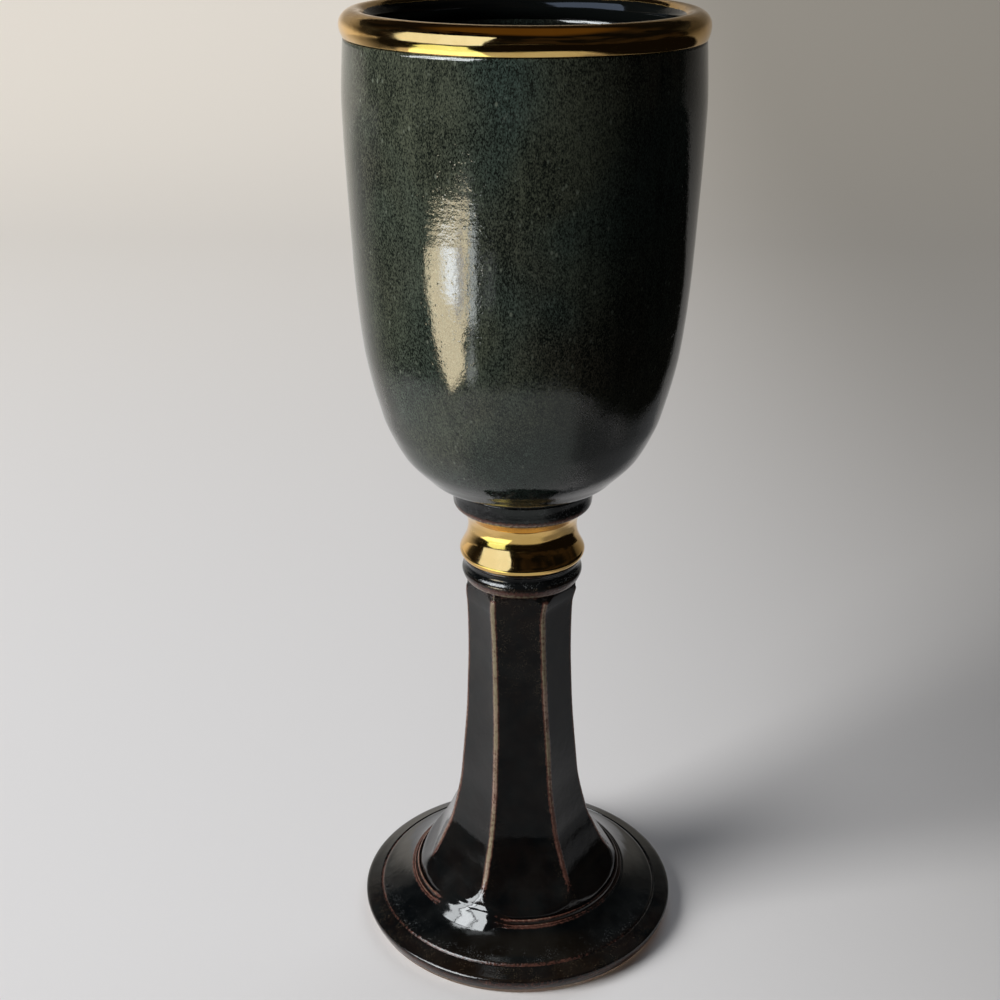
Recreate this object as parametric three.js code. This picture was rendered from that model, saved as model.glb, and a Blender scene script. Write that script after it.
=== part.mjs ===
// Stoneware chalice: a thrown cup with a gilded rolled rim, carried by a collar,
// a gilded knop, a neck ring and a seven-sided faceted hollow stem on a turned foot.
// Units are millimetres, +Z is up, the origin is the centre of the foot's underside.
import * as THREE from 'three';
import { mergeVertices } from 'three/addons/utils/BufferGeometryUtils.js';

// ---------------------------------------------------------------- dimensions
const GAP = 0.3;                 // joint clearance that the luting slip bridges

const FOOT_R = 44.0;             // widest radius of the foot
const FOOT_EDGE_Z = 4.7;         // height of the foot's upper edge
const FOOT_REST_R = 42.3;        // outer radius of the resting ring
const FOOT_RECESS_R = 36.0;      // inner radius of the resting ring
const FOOT_SEAT_Z = 9.6;         // flat seat that carries the stem
const FOOT_BORE_R = 20.3;        // socket for the stem's hollow spigot
const FOOT_STEP_R = 30.4;        // wall of the rebate that holds the base coil

const COIL_IN_R = 28.4;          // clay coil smoothed round the stem's base
const COIL_OUT_R = 30.1;

const STEM_BASE_R = 28.1;
const STEM_TOP_Z = 104.2;
const STEM_TENON_R = 9.0;        // solid tenon on top of the stem
const STEM_TENON_Z = 114.5;
const STEM_SIDES = 7;
const STEM_STRIP_MM = 0.55;      // half width of the uncut strip left at each ridge

const RING_R = 15.9;             // neck ring, a dark bead
const RING_Z0 = 104.5, RING_Z1 = 110.9;
const SOCKET_R = 9.3;            // bore of the ring, knop and collar

const KNOP_Z0 = 111.2, KNOP_Z1 = 125.3;
const COLLAR_Z0 = 125.6, COLLAR_Z1 = 131.3;
const BOWL_BASE_Z = 131.6;
const BOWL_TENON_R = 9.0, BOWL_TENON_Z = 118.3;
const BOWL_FLOOR_Z = 136.2;      // inside floor of the cup
const BOWL_SHOULDER_Z = 242.0;   // shoulder that the rim bead sits on
const LIP_IN_R = 38.25, LIP_OUT_R = 40.15, LIP_Z = 244.4;

const BEAD_OUT_R = 42.6;         // widest radius of the rolled rim
const BEAD_IN_R = 35.9;          // mouth of the cup, inside the rolled rim
const BEAD_TOP_Z = 248.2;

// ---------------------------------------------------------------- profiles
// Lists of [radius, height], each closing on itself or starting and ending on the axis.
const foot = [
  [FOOT_RECESS_R, 0], [FOOT_REST_R, 0], [43.3, 1.5], [43.85, 3.4], [FOOT_R, FOOT_EDGE_Z],
  [43.55, 5.15], [40.2, 6.35], [39.4, 5.85], [38.7, 6.95], [36, 8.2], [33, 10.0],
  [FOOT_STEP_R, 11.8], [FOOT_STEP_R, FOOT_SEAT_Z], [FOOT_BORE_R, FOOT_SEAT_Z],
  [FOOT_BORE_R, 5.4], [25, 5.0], [30, 4.4], [34.8, 2.6],
];

const coil = [
  [COIL_IN_R, 9.9], [COIL_OUT_R, 9.9], [COIL_OUT_R, 11.9], [29.8, 12.3], [29.3, 12.25],
  [29.1, 12.9], [28.75, 13.25], [COIL_IN_R, 13.15],
];

// Round form of the stem (before faceting), from the base of the flare up to the neck.
const stemRound = [
  [28.1, 13.4], [28.0, 15], [27.0, 17], [25.4, 19.5], [23.9, 22], [21.8, 26.4], [19.8, 30.8],
  [18.6, 35.2], [17.5, 39.6], [16.4, 48], [15.5, 57.2], [14.8, 66], [14.3, 76], [14.1, 84],
  [14.2, 94.6], [14.45, 98.5], [14.75, 100.3], [14.9, 101.8], [14.9, 103.2],
  [14.75, STEM_TOP_Z],
];
// Distance from the axis to the middle of a facet, as a share of the ridge radius or outright.
const facetTop = [[96.0, 0.0], [99.5, 0.12], [101.3, 0.45], [102.7, 0.8], [104.2, 1.0]];
const facetBase = [[13.4, 1.0], [15, 0.72], [17, 0.4], [19.5, 0.1], [22, 0.0]];
// Hollow of the stem, from its closed top down to the open foot.
const stemHollow = [
  [0, 96.5], [4.2, 95.6], [6.4, 93], [7.0, 88], [7.2, 74], [7.9, 60], [9.4, 45], [12.7, 30],
  [14.6, 17], [15.8, 5.4],
];
// Bottom of the stem: hollow spigot, seat with the key groove for slip, outer wall.
const stemBase = [
  [20.0, 5.4], [20.0, 9.9], [22.0, 9.9], [22.0, 11.3], [26.0, 11.3], [26.0, 9.9],
  [STEM_BASE_R, 9.9],
];
// Top of the stem: seat with its key groove, then the tenon.
const stemTop = [
  [13.4, STEM_TOP_Z], [13.4, 102.8], [10.4, 102.8], [10.4, STEM_TOP_Z],
  [STEM_TENON_R, STEM_TOP_Z], [STEM_TENON_R, STEM_TENON_Z - 0.6],
  [STEM_TENON_R - 0.6, STEM_TENON_Z], [0, STEM_TENON_Z],
];

const neckRing = [
  [SOCKET_R, RING_Z0], [14.75, RING_Z0], [15.15, 104.9], [15.55, 105.6], [15.85, 106.3],
  [RING_R, 107.0], [15.6, 107.9], [15.3, 108.7], [15.25, 109.5], [15.5, 110.5],
  [15.5, RING_Z1], [SOCKET_R, RING_Z1],
];

const knop = [
  [0, 114.9], [SOCKET_R, 114.9], [SOCKET_R, KNOP_Z0], [10.4, KNOP_Z0], [10.4, 112.6],
  [13.4, 112.6], [13.4, KNOP_Z0], [15.8, KNOP_Z0], [16.3, 111.7],
  [16.5, 112.4], [16.3, 113.3], [15.6, 114.7], [14.9, 116.2], [14.45, 118.0], [14.3, 119.7],
  [14.55, 121.5], [15.25, 123.2], [16.1, 124.3], [16.9, KNOP_Z1], [13.4, KNOP_Z1],
  [13.4, 123.9], [10.6, 123.9], [10.6, KNOP_Z1],
  [SOCKET_R, KNOP_Z1], [SOCKET_R, 118.0], [0, 118.0],
];

const collar = [
  [SOCKET_R, COLLAR_Z0], [17.2, COLLAR_Z0], [17.9, 126.1], [18.15, 127.2], [18.2, 128.6],
  [18.25, 130.0], [18.5, COLLAR_Z1], [16.2, COLLAR_Z1], [16.2, 129.9],
  [12.0, 129.9], [12.0, COLLAR_Z1], [SOCKET_R, COLLAR_Z1],
];

const bowl = [
  [0, BOWL_TENON_Z], [BOWL_TENON_R - 0.6, BOWL_TENON_Z], [BOWL_TENON_R, BOWL_TENON_Z + 0.6],
  [BOWL_TENON_R, BOWL_BASE_Z], [18.6, BOWL_BASE_Z], [20.3, 132.3], [22.2, 133.1],
  [23.9, 134.1], [25.8, 136.0], [27.9, 138.1], [30.1, 140.6], [31.8, 143.5], [33.3, 146.5],
  [34.8, 150], [36.2, 155], [37.7, 160.4], [39.0, 167.2], [40.1, 176], [41.0, 187],
  [41.8, 204], [42.5, 220], [42.6, 229], [42.1, 238], [41.75, BOWL_SHOULDER_Z],
  [LIP_OUT_R, BOWL_SHOULDER_Z], [LIP_OUT_R, LIP_Z], [LIP_IN_R, LIP_Z],
  [LIP_IN_R, BOWL_SHOULDER_Z], [36.9, BOWL_SHOULDER_Z], [37.7, 234], [37.9, 218],
  [37.2, 200], [36.2, 184], [34.9, 171], [32.6, 159], [29.8, 151], [25.9, 144.8],
  [20.5, 140.2], [13, 137.3], [6, 136.4], [0, BOWL_FLOOR_Z],
];

// Rolled rim: a rounded band, flat where it rests on the shoulder, grooved over the lip.
const beadFlatZ = BOWL_SHOULDER_Z + GAP;
const bead = [
  [41.85, beadFlatZ], [42.35, 243.1], [BEAD_OUT_R, 244.2], [42.55, 245.3], [42.1, 246.5],
  [41.3, 247.5], [40.4, 248.0], [39.3, BEAD_TOP_Z], [38.2, 248.0], [37.2, 247.5],
  [36.4, 246.5], [35.95, 245.3], [BEAD_IN_R, 244.2], [36.1, 243.1], [36.6, beadFlatZ],
  [LIP_IN_R - GAP, beadFlatZ], [LIP_IN_R - GAP, 245.8], [LIP_OUT_R + GAP, 245.8],
  [LIP_OUT_R + GAP, beadFlatZ],
];

// Rings of luting slip, [inner radius, outer radius, bottom, top].
const slips = {
  foot_joint_slip: [22.3, 25.7, FOOT_SEAT_Z + GAP, 11.0],
  neck_joint_slip: [10.7, 13.1, 103.1, STEM_TOP_Z],
  knop_lower_slip: [10.7, 13.1, KNOP_Z0, 112.3],
  knop_upper_slip: [10.9, 13.1, 124.2, KNOP_Z1],
  bowl_joint_slip: [12.3, 15.9, 130.2, COLLAR_Z1],
  rim_joint_slip: [LIP_IN_R + 0.05, LIP_OUT_R - 0.05, LIP_Z + GAP, 245.5],
};

// ---------------------------------------------------------------- finishes
const black = { color: 0x17191a, roughness: 0.12, metalness: 0.0 };
const cupGlaze = { color: 0x343a36, roughness: 0.15, metalness: 0.0 };
const gold = { color: 0xc9a24a, roughness: 0.14, metalness: 1.0 };
const slipClay = { color: 0xa98f73, roughness: 0.9, metalness: 0.0 };

const chalice = new THREE.Group();

function addMesh(name, geometry, finish) {
  const mesh = new THREE.Mesh(geometry, new THREE.MeshStandardMaterial(finish));
  mesh.name = name;
  chalice.add(mesh);
  return mesh;
}

// Signed volume, to tell whether the faces point outwards.
function signedVolume(geometry) {
  const p = geometry.getAttribute('position'), ix = geometry.getIndex();
  const a = new THREE.Vector3(), b = new THREE.Vector3(), c = new THREE.Vector3();
  let v = 0;
  for (let i = 0; i < ix.count; i += 3) {
    a.fromBufferAttribute(p, ix.getX(i));
    b.fromBufferAttribute(p, ix.getX(i + 1));
    c.fromBufferAttribute(p, ix.getX(i + 2));
    v += a.dot(b.cross(c)) / 6;
  }
  return v;
}

// Welds shared vertices, drops the slivers at the axis and turns the faces outwards.
function tidy(geometry) {
  geometry.deleteAttribute('normal');
  geometry.deleteAttribute('uv');
  const g = mergeVertices(geometry, 1e-4);
  const ix = g.getIndex(), kept = [];
  for (let i = 0; i < ix.count; i += 3) {
    const a = ix.getX(i), b = ix.getX(i + 1), c = ix.getX(i + 2);
    if (a !== b && b !== c && c !== a) kept.push(a, b, c);
  }
  g.setIndex(kept);
  if (signedVolume(g) < 0) {
    for (let i = 0; i < kept.length; i += 3) {
      const t = kept[i];
      kept[i] = kept[i + 1];
      kept[i + 1] = t;
    }
    g.setIndex(kept);
  }
  g.computeVertexNormals();
  return g;
}

// A profile turned round Z. One that doesn't lie on the axis is closed on itself.
function turned(profile, segments) {
  const points = profile.map(([r, z]) => new THREE.Vector2(r, z));
  if (profile[0][0] !== 0) points.push(points[0].clone());
  const g = new THREE.LatheGeometry(points, segments);
  const p = g.getAttribute('position');
  for (let i = 0; i < p.count; i++) {      // exact axis points, so that they weld
    if (Math.hypot(p.getX(i), p.getZ(i)) < 1e-6) p.setXYZ(i, 0, p.getY(i), 0);
  }
  g.rotateX(Math.PI / 2);
  return tidy(g);
}

// ---------------------------------------------------------------- faceted stem
// Ridge angles in degrees, counted from the front (-Y) towards +X, at mid height. They
// are a little uneven, as facets cut by hand are, and turn slowly up the stem.
const ridgeAngles = [-24.1, 31.1, 82.0, 133.0, 184.0, 235.0, 286.0];
const twist = [[5, 2.6], [20, 2.5], [60, 0], [97, -5.8], [112, -6.4]];

function lookup(table, x, key = 0, value = 1) {
  if (x <= table[0][key]) return table[0][value];
  for (let i = 1; i < table.length; i++) {
    if (x <= table[i][key]) {
      const t = (x - table[i - 1][key]) / (table[i][key] - table[i - 1][key]);
      return table[i - 1][value] + t * (table[i][value] - table[i - 1][value]);
    }
  }
  return table[table.length - 1][value];
}

// How far the facet cut has run out into the round form: 0 is fully cut, 1 is uncut.
function runOut(z) {
  if (z >= facetTop[0][0]) return lookup(facetTop, z);
  if (z <= facetBase[facetBase.length - 1][0]) return lookup(facetBase, z);
  return 0;
}

// The vertices round the stem: both edges of each ridge strip and three points between.
const around = [];
for (let i = 0; i < STEM_SIDES; i++) {
  const a0 = ridgeAngles[i];
  const a1 = i + 1 < STEM_SIDES ? ridgeAngles[i + 1] : ridgeAngles[0] + 360;
  const centre = (a0 + a1) / 2, half = (a1 - a0) / 2, edge = half - 2.2;
  for (const d of [-half, -edge, -edge / 2, 0, edge / 2, edge]) {
    around.push({ angle: centre + d, off: d, half });
  }
}
around.sort((p, q) => p.angle - q.angle);

function facetedRadius(round, z, v) {
  const strip = THREE.MathUtils.radToDeg(STEM_STRIP_MM / round);
  const inner = round * Math.cos(THREE.MathUtils.degToRad(v.half - strip));
  const middle = inner + (round - inner) * runOut(z);
  return Math.min(round, middle / Math.cos(THREE.MathUtils.degToRad(v.off)));
}

function stemGeometry() {
  const profile = [...stemHollow, ...stemBase, ...stemRound, ...stemTop];
  const firstOuter = stemHollow.length + stemBase.length;
  const lastOuter = firstOuter + stemRound.length - 1;
  const points = profile.map(([r, z]) => new THREE.Vector2(r, z));
  const segments = around.length;
  const g = new THREE.LatheGeometry(points, segments);
  const p = g.getAttribute('position');
  for (let s = 0; s <= segments; s++) {
    const v = around[s % segments];
    for (let j = 0; j < profile.length; j++) {
      let [r, z] = profile[j];
      if (j >= firstOuter && j <= lastOuter) r = facetedRadius(r, z, v);
      const a = THREE.MathUtils.degToRad(v.angle + lookup(twist, z));
      // LatheGeometry stores the points of one segment after another, axis along Y.
      p.setXYZ(s * profile.length + j, r * Math.sin(a), z, r * Math.cos(a));
    }
  }
  g.rotateX(Math.PI / 2);
  return tidy(g);
}

// ---------------------------------------------------------------- assembly
addMesh('foot', turned(foot, 48), black);
addMesh('foot_joint_slip', turned(ringSection('foot_joint_slip'), 28), slipClay);
addMesh('base_coil', turned(coil, 48), black);
addMesh('stem', stemGeometry(), black);
addMesh('neck_joint_slip', turned(ringSection('neck_joint_slip'), 24), slipClay);
addMesh('neck_ring', turned(neckRing, 40), black);
addMesh('knop_lower_slip', turned(ringSection('knop_lower_slip'), 24), slipClay);
addMesh('knop', turned(knop, 40), gold);
addMesh('knop_upper_slip', turned(ringSection('knop_upper_slip'), 24), slipClay);
addMesh('bowl_collar', turned(collar, 40), black);
addMesh('bowl_joint_slip', turned(ringSection('bowl_joint_slip'), 24), slipClay);
addMesh('bowl', turned(bowl, 48), cupGlaze);
addMesh('rim_joint_slip', turned(ringSection('rim_joint_slip'), 48), slipClay);
addMesh('rim_bead', turned(bead, 48), gold);

function ringSection(name) {
  const [r0, r1, z0, z1] = slips[name];
  return [[r0, z0], [r1, z0], [r1, z1], [r0, z1]];
}

export default chalice;
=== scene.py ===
import math

import bpy
import numpy as np
from mathutils import Matrix, Vector


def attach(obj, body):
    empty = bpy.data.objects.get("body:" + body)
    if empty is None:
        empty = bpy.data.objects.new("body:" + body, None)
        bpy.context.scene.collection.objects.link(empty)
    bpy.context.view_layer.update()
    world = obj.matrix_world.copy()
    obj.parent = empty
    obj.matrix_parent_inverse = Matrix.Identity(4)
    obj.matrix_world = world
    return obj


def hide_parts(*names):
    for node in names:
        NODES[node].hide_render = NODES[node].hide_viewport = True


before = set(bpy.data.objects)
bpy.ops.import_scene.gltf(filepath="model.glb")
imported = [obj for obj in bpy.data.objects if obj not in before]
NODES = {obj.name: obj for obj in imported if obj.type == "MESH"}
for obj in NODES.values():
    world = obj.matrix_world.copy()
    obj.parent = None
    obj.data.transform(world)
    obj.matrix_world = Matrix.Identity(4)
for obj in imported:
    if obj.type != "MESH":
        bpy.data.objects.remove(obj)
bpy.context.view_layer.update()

MM = 0.001
TAU = 2 * math.pi


# ------------------------------------------------------------------ profiles and curves
def smooth(points, step=0.5):
    """Centripetal Catmull-Rom curve through [radius, height] points, about one point per step mm."""
    p = np.array(points, float)
    p = np.vstack([2 * p[0] - p[1], p, 2 * p[-1] - p[-2]])
    out = []
    for i in range(1, len(p) - 2):
        p0, p1, p2, p3 = p[i - 1], p[i], p[i + 1], p[i + 2]
        t1 = np.linalg.norm(p1 - p0) ** 0.5
        t2 = t1 + np.linalg.norm(p2 - p1) ** 0.5
        t3 = t2 + np.linalg.norm(p3 - p2) ** 0.5
        n = max(1, int(round(np.linalg.norm(p2 - p1) / step)))
        t = (t1 + (t2 - t1) * np.arange(n) / n)[:, None]
        a1 = (t1 - t) / t1 * p0 + t / t1 * p1
        a2 = (t2 - t) / (t2 - t1) * p1 + (t - t1) / (t2 - t1) * p2
        a3 = (t3 - t) / (t3 - t2) * p2 + (t - t2) / (t3 - t2) * p3
        b1 = (t2 - t) / t2 * a1 + t / t2 * a2
        b2 = (t3 - t) / (t3 - t1) * a2 + (t - t1) / (t3 - t1) * a3
        out.append((t2 - t) / (t2 - t1) * b1 + (t - t1) / (t2 - t1) * b2)
    out.append(p[-2][None])
    return np.vstack(out)


def join(*parts):
    """Pieces of a profile one after another, without the points that repeat."""
    rows = [np.atleast_2d(np.array(q, float)) for q in parts]
    flat = np.vstack(rows)
    keep = [0]
    for i in range(1, len(flat)):
        if np.linalg.norm(flat[i] - flat[keep[-1]]) > 1e-4:
            keep.append(i)
    return flat[keep]


def ramp(x, a, b):
    """Smooth step from 0 at a to 1 at b."""
    t = np.clip((np.asarray(x, float) - a) / (b - a), 0, 1)
    return t * t * (3 - 2 * t)


def bump_at(x, centre, width):
    return np.exp(-((np.asarray(x, float) - centre) / width) ** 2)


def offset_x(z):
    """The neck, knop and collar sit a little to one side of the cup's axis, in mm."""
    return 0.45 * ramp(z, 98.5, 103.5) * (1 - ramp(z, 129.0, 136.0))


def thrown(theta, z, amount=1.0):
    """Slight unroundness and faint throwing lines of a hand-thrown wall, in mm."""
    lines = (0.0045 * np.sin(z * 1.13 + 0.9 * np.sin(theta + 0.4) + 0.3)
             + 0.0060 * np.sin(z * 0.61 + 1.4 * np.sin(theta - 1.1))
             + 0.0020 * np.sin(z * 2.31 + theta))
    oval = 0.05 * np.sin(2 * theta + 0.6 + z * 0.01) + 0.03 * np.sin(3 * theta - z * 0.02)
    return amount * (lines + oval)


# ------------------------------------------------------------------ meshes
def build_mesh(name, rings, closed, attributes=None):
    """A body of revolution from rings, an array [profile point, angle step, xyz] in mm."""
    m, n, _ = rings.shape
    verts, index = [], np.zeros((m, n), int)
    source = []
    for i in range(m):
        if np.ptp(rings[i, :, :2], axis=0).max() < 1e-5:        # a point on the axis
            index[i] = len(verts)
            verts.append(rings[i, 0])
            source.append((i, 0))
        else:
            index[i] = np.arange(len(verts), len(verts) + n)
            verts.extend(rings[i])
            source.extend((i, k) for k in range(n))
    faces = []
    for i in range(m if closed else m - 1):
        a, b = index[i], index[(i + 1) % m]
        for k in range(n):
            q = [a[k], a[(k + 1) % n], b[(k + 1) % n], b[k]]
            q = [v for j, v in enumerate(q) if v != q[j - 1]]
            if len(q) > 2:
                faces.append([int(v) for v in q])
    mesh = bpy.data.meshes.new(name)
    mesh.from_pydata([tuple(v * MM) for v in np.array(verts)], [], faces)
    mesh.validate()
    if volume(mesh) < 0:
        mesh.flip_normals()
    for p in mesh.polygons:
        p.use_smooth = True
    source = np.array(source)
    for key, grid in (attributes or {}).items():
        layer = mesh.attributes.new(key, "FLOAT", "POINT")
        values = np.broadcast_to(grid, (m, n))[source[:, 0], source[:, 1]]
        layer.data.foreach_set("value", np.ascontiguousarray(values, np.float32))
    mesh.update()
    obj = bpy.data.objects.new(name, mesh)
    bpy.context.scene.collection.objects.link(obj)
    return obj


def volume(mesh):
    total = 0.0
    co = np.zeros(len(mesh.vertices) * 3)
    mesh.vertices.foreach_get("co", co)
    co = co.reshape(-1, 3)
    mesh.calc_loop_triangles()
    tri = np.zeros(len(mesh.loop_triangles) * 3, int)
    mesh.loop_triangles.foreach_get("vertices", tri)
    a, b, c = (co[tri.reshape(-1, 3)[:, k]] for k in range(3))
    total = np.einsum("ij,ij->i", a, np.cross(b, c)).sum() / 6
    return total


def lathe(name, profile, segments, closed=True, amount=1.0, attributes=None, change=None, off=True):
    """Turns a [radius, height] profile round Z. Angle 0 is the front (-Y), growing towards +X."""
    theta = np.arange(segments) * TAU / segments
    r = np.repeat(profile[:, 0][:, None], segments, 1)
    z = np.repeat(profile[:, 1][:, None], segments, 1)
    t = np.repeat(theta[None], len(profile), 0)
    if amount:
        r = np.where(r > 1.0, r + thrown(t, z, amount), r)
    if change:
        r, z = change(r, z, t)
    x = r * np.sin(t) + (offset_x(z) if off else 0)
    y = -r * np.cos(t)
    grids = {k: f(r, z, t) for k, f in (attributes or {}).items()}
    return build_mesh(name, np.stack([x, y, z], 2), closed, grids)


def finish_piece(obj, material, slot, *nodes):
    obj.data.materials.append(material)
    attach(obj, "root")
    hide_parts(*nodes)
    return obj


# ------------------------------------------------------------------ node helpers
class Tree:
    def __init__(self, material):
        material.use_nodes = True
        self.t = material.node_tree
        self.t.nodes.clear()

    def node(self, kind, **values):
        n = self.t.nodes.new(kind)
        for k, v in values.items():
            setattr(n, k, v)
        return n

    def put(self, socket, value):
        if isinstance(value, bpy.types.NodeSocket):
            self.t.links.new(value, socket)
        else:
            socket.default_value = value

    def math(self, op, a, b=0.0, c=None, clamp=False):
        n = self.node("ShaderNodeMath", operation=op, use_clamp=clamp)
        self.put(n.inputs[0], a)
        self.put(n.inputs[1], b)
        if c is not None:
            self.put(n.inputs[2], c)
        return n.outputs[0]

    def range(self, x, a, b, lo=0.0, hi=1.0):
        n = self.node("ShaderNodeMapRange", interpolation_type="SMOOTHSTEP")
        for s, v in zip(n.inputs, (x, a, b, lo, hi)):
            self.put(s, v)
        return n.outputs[0]

    def mix(self, f, a, b):
        n = self.node("ShaderNodeMix", data_type="RGBA")
        self.put(n.inputs[0], f)
        self.put(n.inputs[6], a)
        self.put(n.inputs[7], b)
        return n.outputs[2]

    def point(self, scale=(1, 1, 1)):
        c = self.node("ShaderNodeTexCoord")
        m = self.node("ShaderNodeMapping")
        self.t.links.new(c.outputs["Object"], m.inputs[0])
        m.inputs["Scale"].default_value = scale
        return m.outputs[0]

    def noise(self, where, scale, detail=2.0, rough=0.5, distortion=0.0):
        n = self.node("ShaderNodeTexNoise")
        self.t.links.new(where, n.inputs["Vector"])
        n.inputs["Scale"].default_value = scale
        n.inputs["Detail"].default_value = detail
        n.inputs["Roughness"].default_value = rough
        n.inputs["Distortion"].default_value = distortion
        return n.outputs[0]

    def cells(self, where, scale, output="Distance", feature="F1"):
        n = self.node("ShaderNodeTexVoronoi", feature=feature)
        self.t.links.new(where, n.inputs["Vector"])
        n.inputs["Scale"].default_value = scale
        return n.outputs[output]

    def attribute(self, name):
        return self.node("ShaderNodeAttribute", attribute_name=name).outputs["Fac"]

    def bump(self, height, distance, strength=1.0, normal=None):
        n = self.node("ShaderNodeBump")
        n.inputs["Strength"].default_value = strength
        n.inputs["Distance"].default_value = distance
        self.t.links.new(height, n.inputs["Height"])
        if normal is not None:
            self.t.links.new(normal, n.inputs["Normal"])
        return n.outputs[0]

    def surface(self, **values):
        s = self.node("ShaderNodeBsdfPrincipled")
        for k, v in values.items():
            self.put(s.inputs[k.replace("_", " ")], v)
        o = self.node("ShaderNodeOutputMaterial")
        self.t.links.new(s.outputs[0], o.inputs[0])
        return s


def rgb(r, g, b):
    return (r, g, b, 1.0)


# ------------------------------------------------------------------ materials
def make_cup_glaze():
    """Oil-spot like charcoal-green glaze: very fine pale dashes drawn out downwards on a
    near-black ground, clouded teal, olive and brown, with a few larger pale spots."""
    m = bpy.data.materials.new("cup_speckled_glaze")
    t = Tree(m)
    p = t.point()
    dash = t.point((1, 1, 0.50))
    long = t.point((1, 1, 0.05))
    inside = t.attribute("inside")
    fine = t.noise(dash, 3700, 2.0, 0.60)
    middle = t.noise(dash, 1500, 2.0, 0.6)
    clouds = t.noise(p, 34, 4.0, 0.6)
    hue = t.noise(p, 21, 2.0, 0.55, 0.6)
    warm = t.noise(t.point((1, 1, 0.7)), 27, 2.0, 0.5)
    streaks = t.noise(long, 330, 3.0, 0.6)
    value = t.math("ADD", t.math("MULTIPLY", fine, 0.76), t.math("MULTIPLY", middle, 0.24))
    value = t.math("ADD", value, t.range(clouds, 0.30, 0.70, -0.030, 0.034))
    value = t.math("ADD", value, t.range(streaks, 0.3, 0.7, -0.022, 0.026))
    speck = t.range(value, 0.37, 0.71)
    spot = t.range(t.cells(t.point((1, 1, 0.6)), 560), 0.24, 0.10)
    spot = t.math("MULTIPLY", spot, t.range(t.noise(p, 300, 1.0), 0.53, 0.65))
    fleck = t.range(t.cells(t.point((1, 1, 0.7)), 1150), 0.26, 0.10)
    fleck = t.math("MULTIPLY", fleck, t.range(t.noise(p, 900, 1.0), 0.54, 0.66))
    pore = t.math("MULTIPLY", t.range(t.cells(t.point((1, 1, 0.5)), 430), 0.20, 0.08),
                  t.range(t.noise(p, 260, 1.0), 0.60, 0.70))
    teal = t.mix(t.range(hue, 0.34, 0.60), rgb(0.060, 0.090, 0.078), rgb(0.086, 0.097, 0.069))
    teal = t.mix(t.range(warm, 0.50, 0.72), teal, rgb(0.092, 0.084, 0.062))
    ground = t.mix(t.range(clouds, 0.35, 0.7), rgb(0.0050, 0.0070, 0.0056), rgb(0.0120, 0.0160, 0.0130))
    outer = t.mix(speck, ground, teal)
    outer = t.mix(t.math("MULTIPLY", spot, 0.60), outer, rgb(0.160, 0.182, 0.146))
    outer = t.mix(t.math("MULTIPLY", fleck, 0.50), outer, rgb(0.150, 0.176, 0.150))
    outer = t.mix(t.math("MULTIPLY", pore, 0.6), outer, rgb(0.0035, 0.0042, 0.0040))
    colour = t.mix(inside, outer, t.mix(t.math("MULTIPLY", speck, 0.25), rgb(0.0022, 0.0027, 0.0026), teal))
    peel = t.bump(t.noise(t.point((1, 1, 0.75)), 980, 3.0, 0.66), 0.000028)
    lines = t.bump(t.noise(t.point((0.22, 0.22, 1)), 1250, 2.0, 0.6), 0.000009, 1.0, peel)
    crystals = t.math("MULTIPLY", t.range(t.cells(t.point((1, 1, 0.8)), 1500), 0.50, 0.10),
                      t.range(t.noise(p, 620, 2.0), 0.54, 0.66))
    crystals = t.bump(crystals, 0.000016, 1.0, lines)
    grain = t.bump(fine, 0.0000016, 1.0, crystals)
    t.surface(
        Base_Color=colour,
        Roughness=t.range(t.noise(p, 240, 2.0), 0.3, 0.7, 0.030, 0.065),
        IOR=1.54,
        Normal=grain,
    )
    return m


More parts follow.
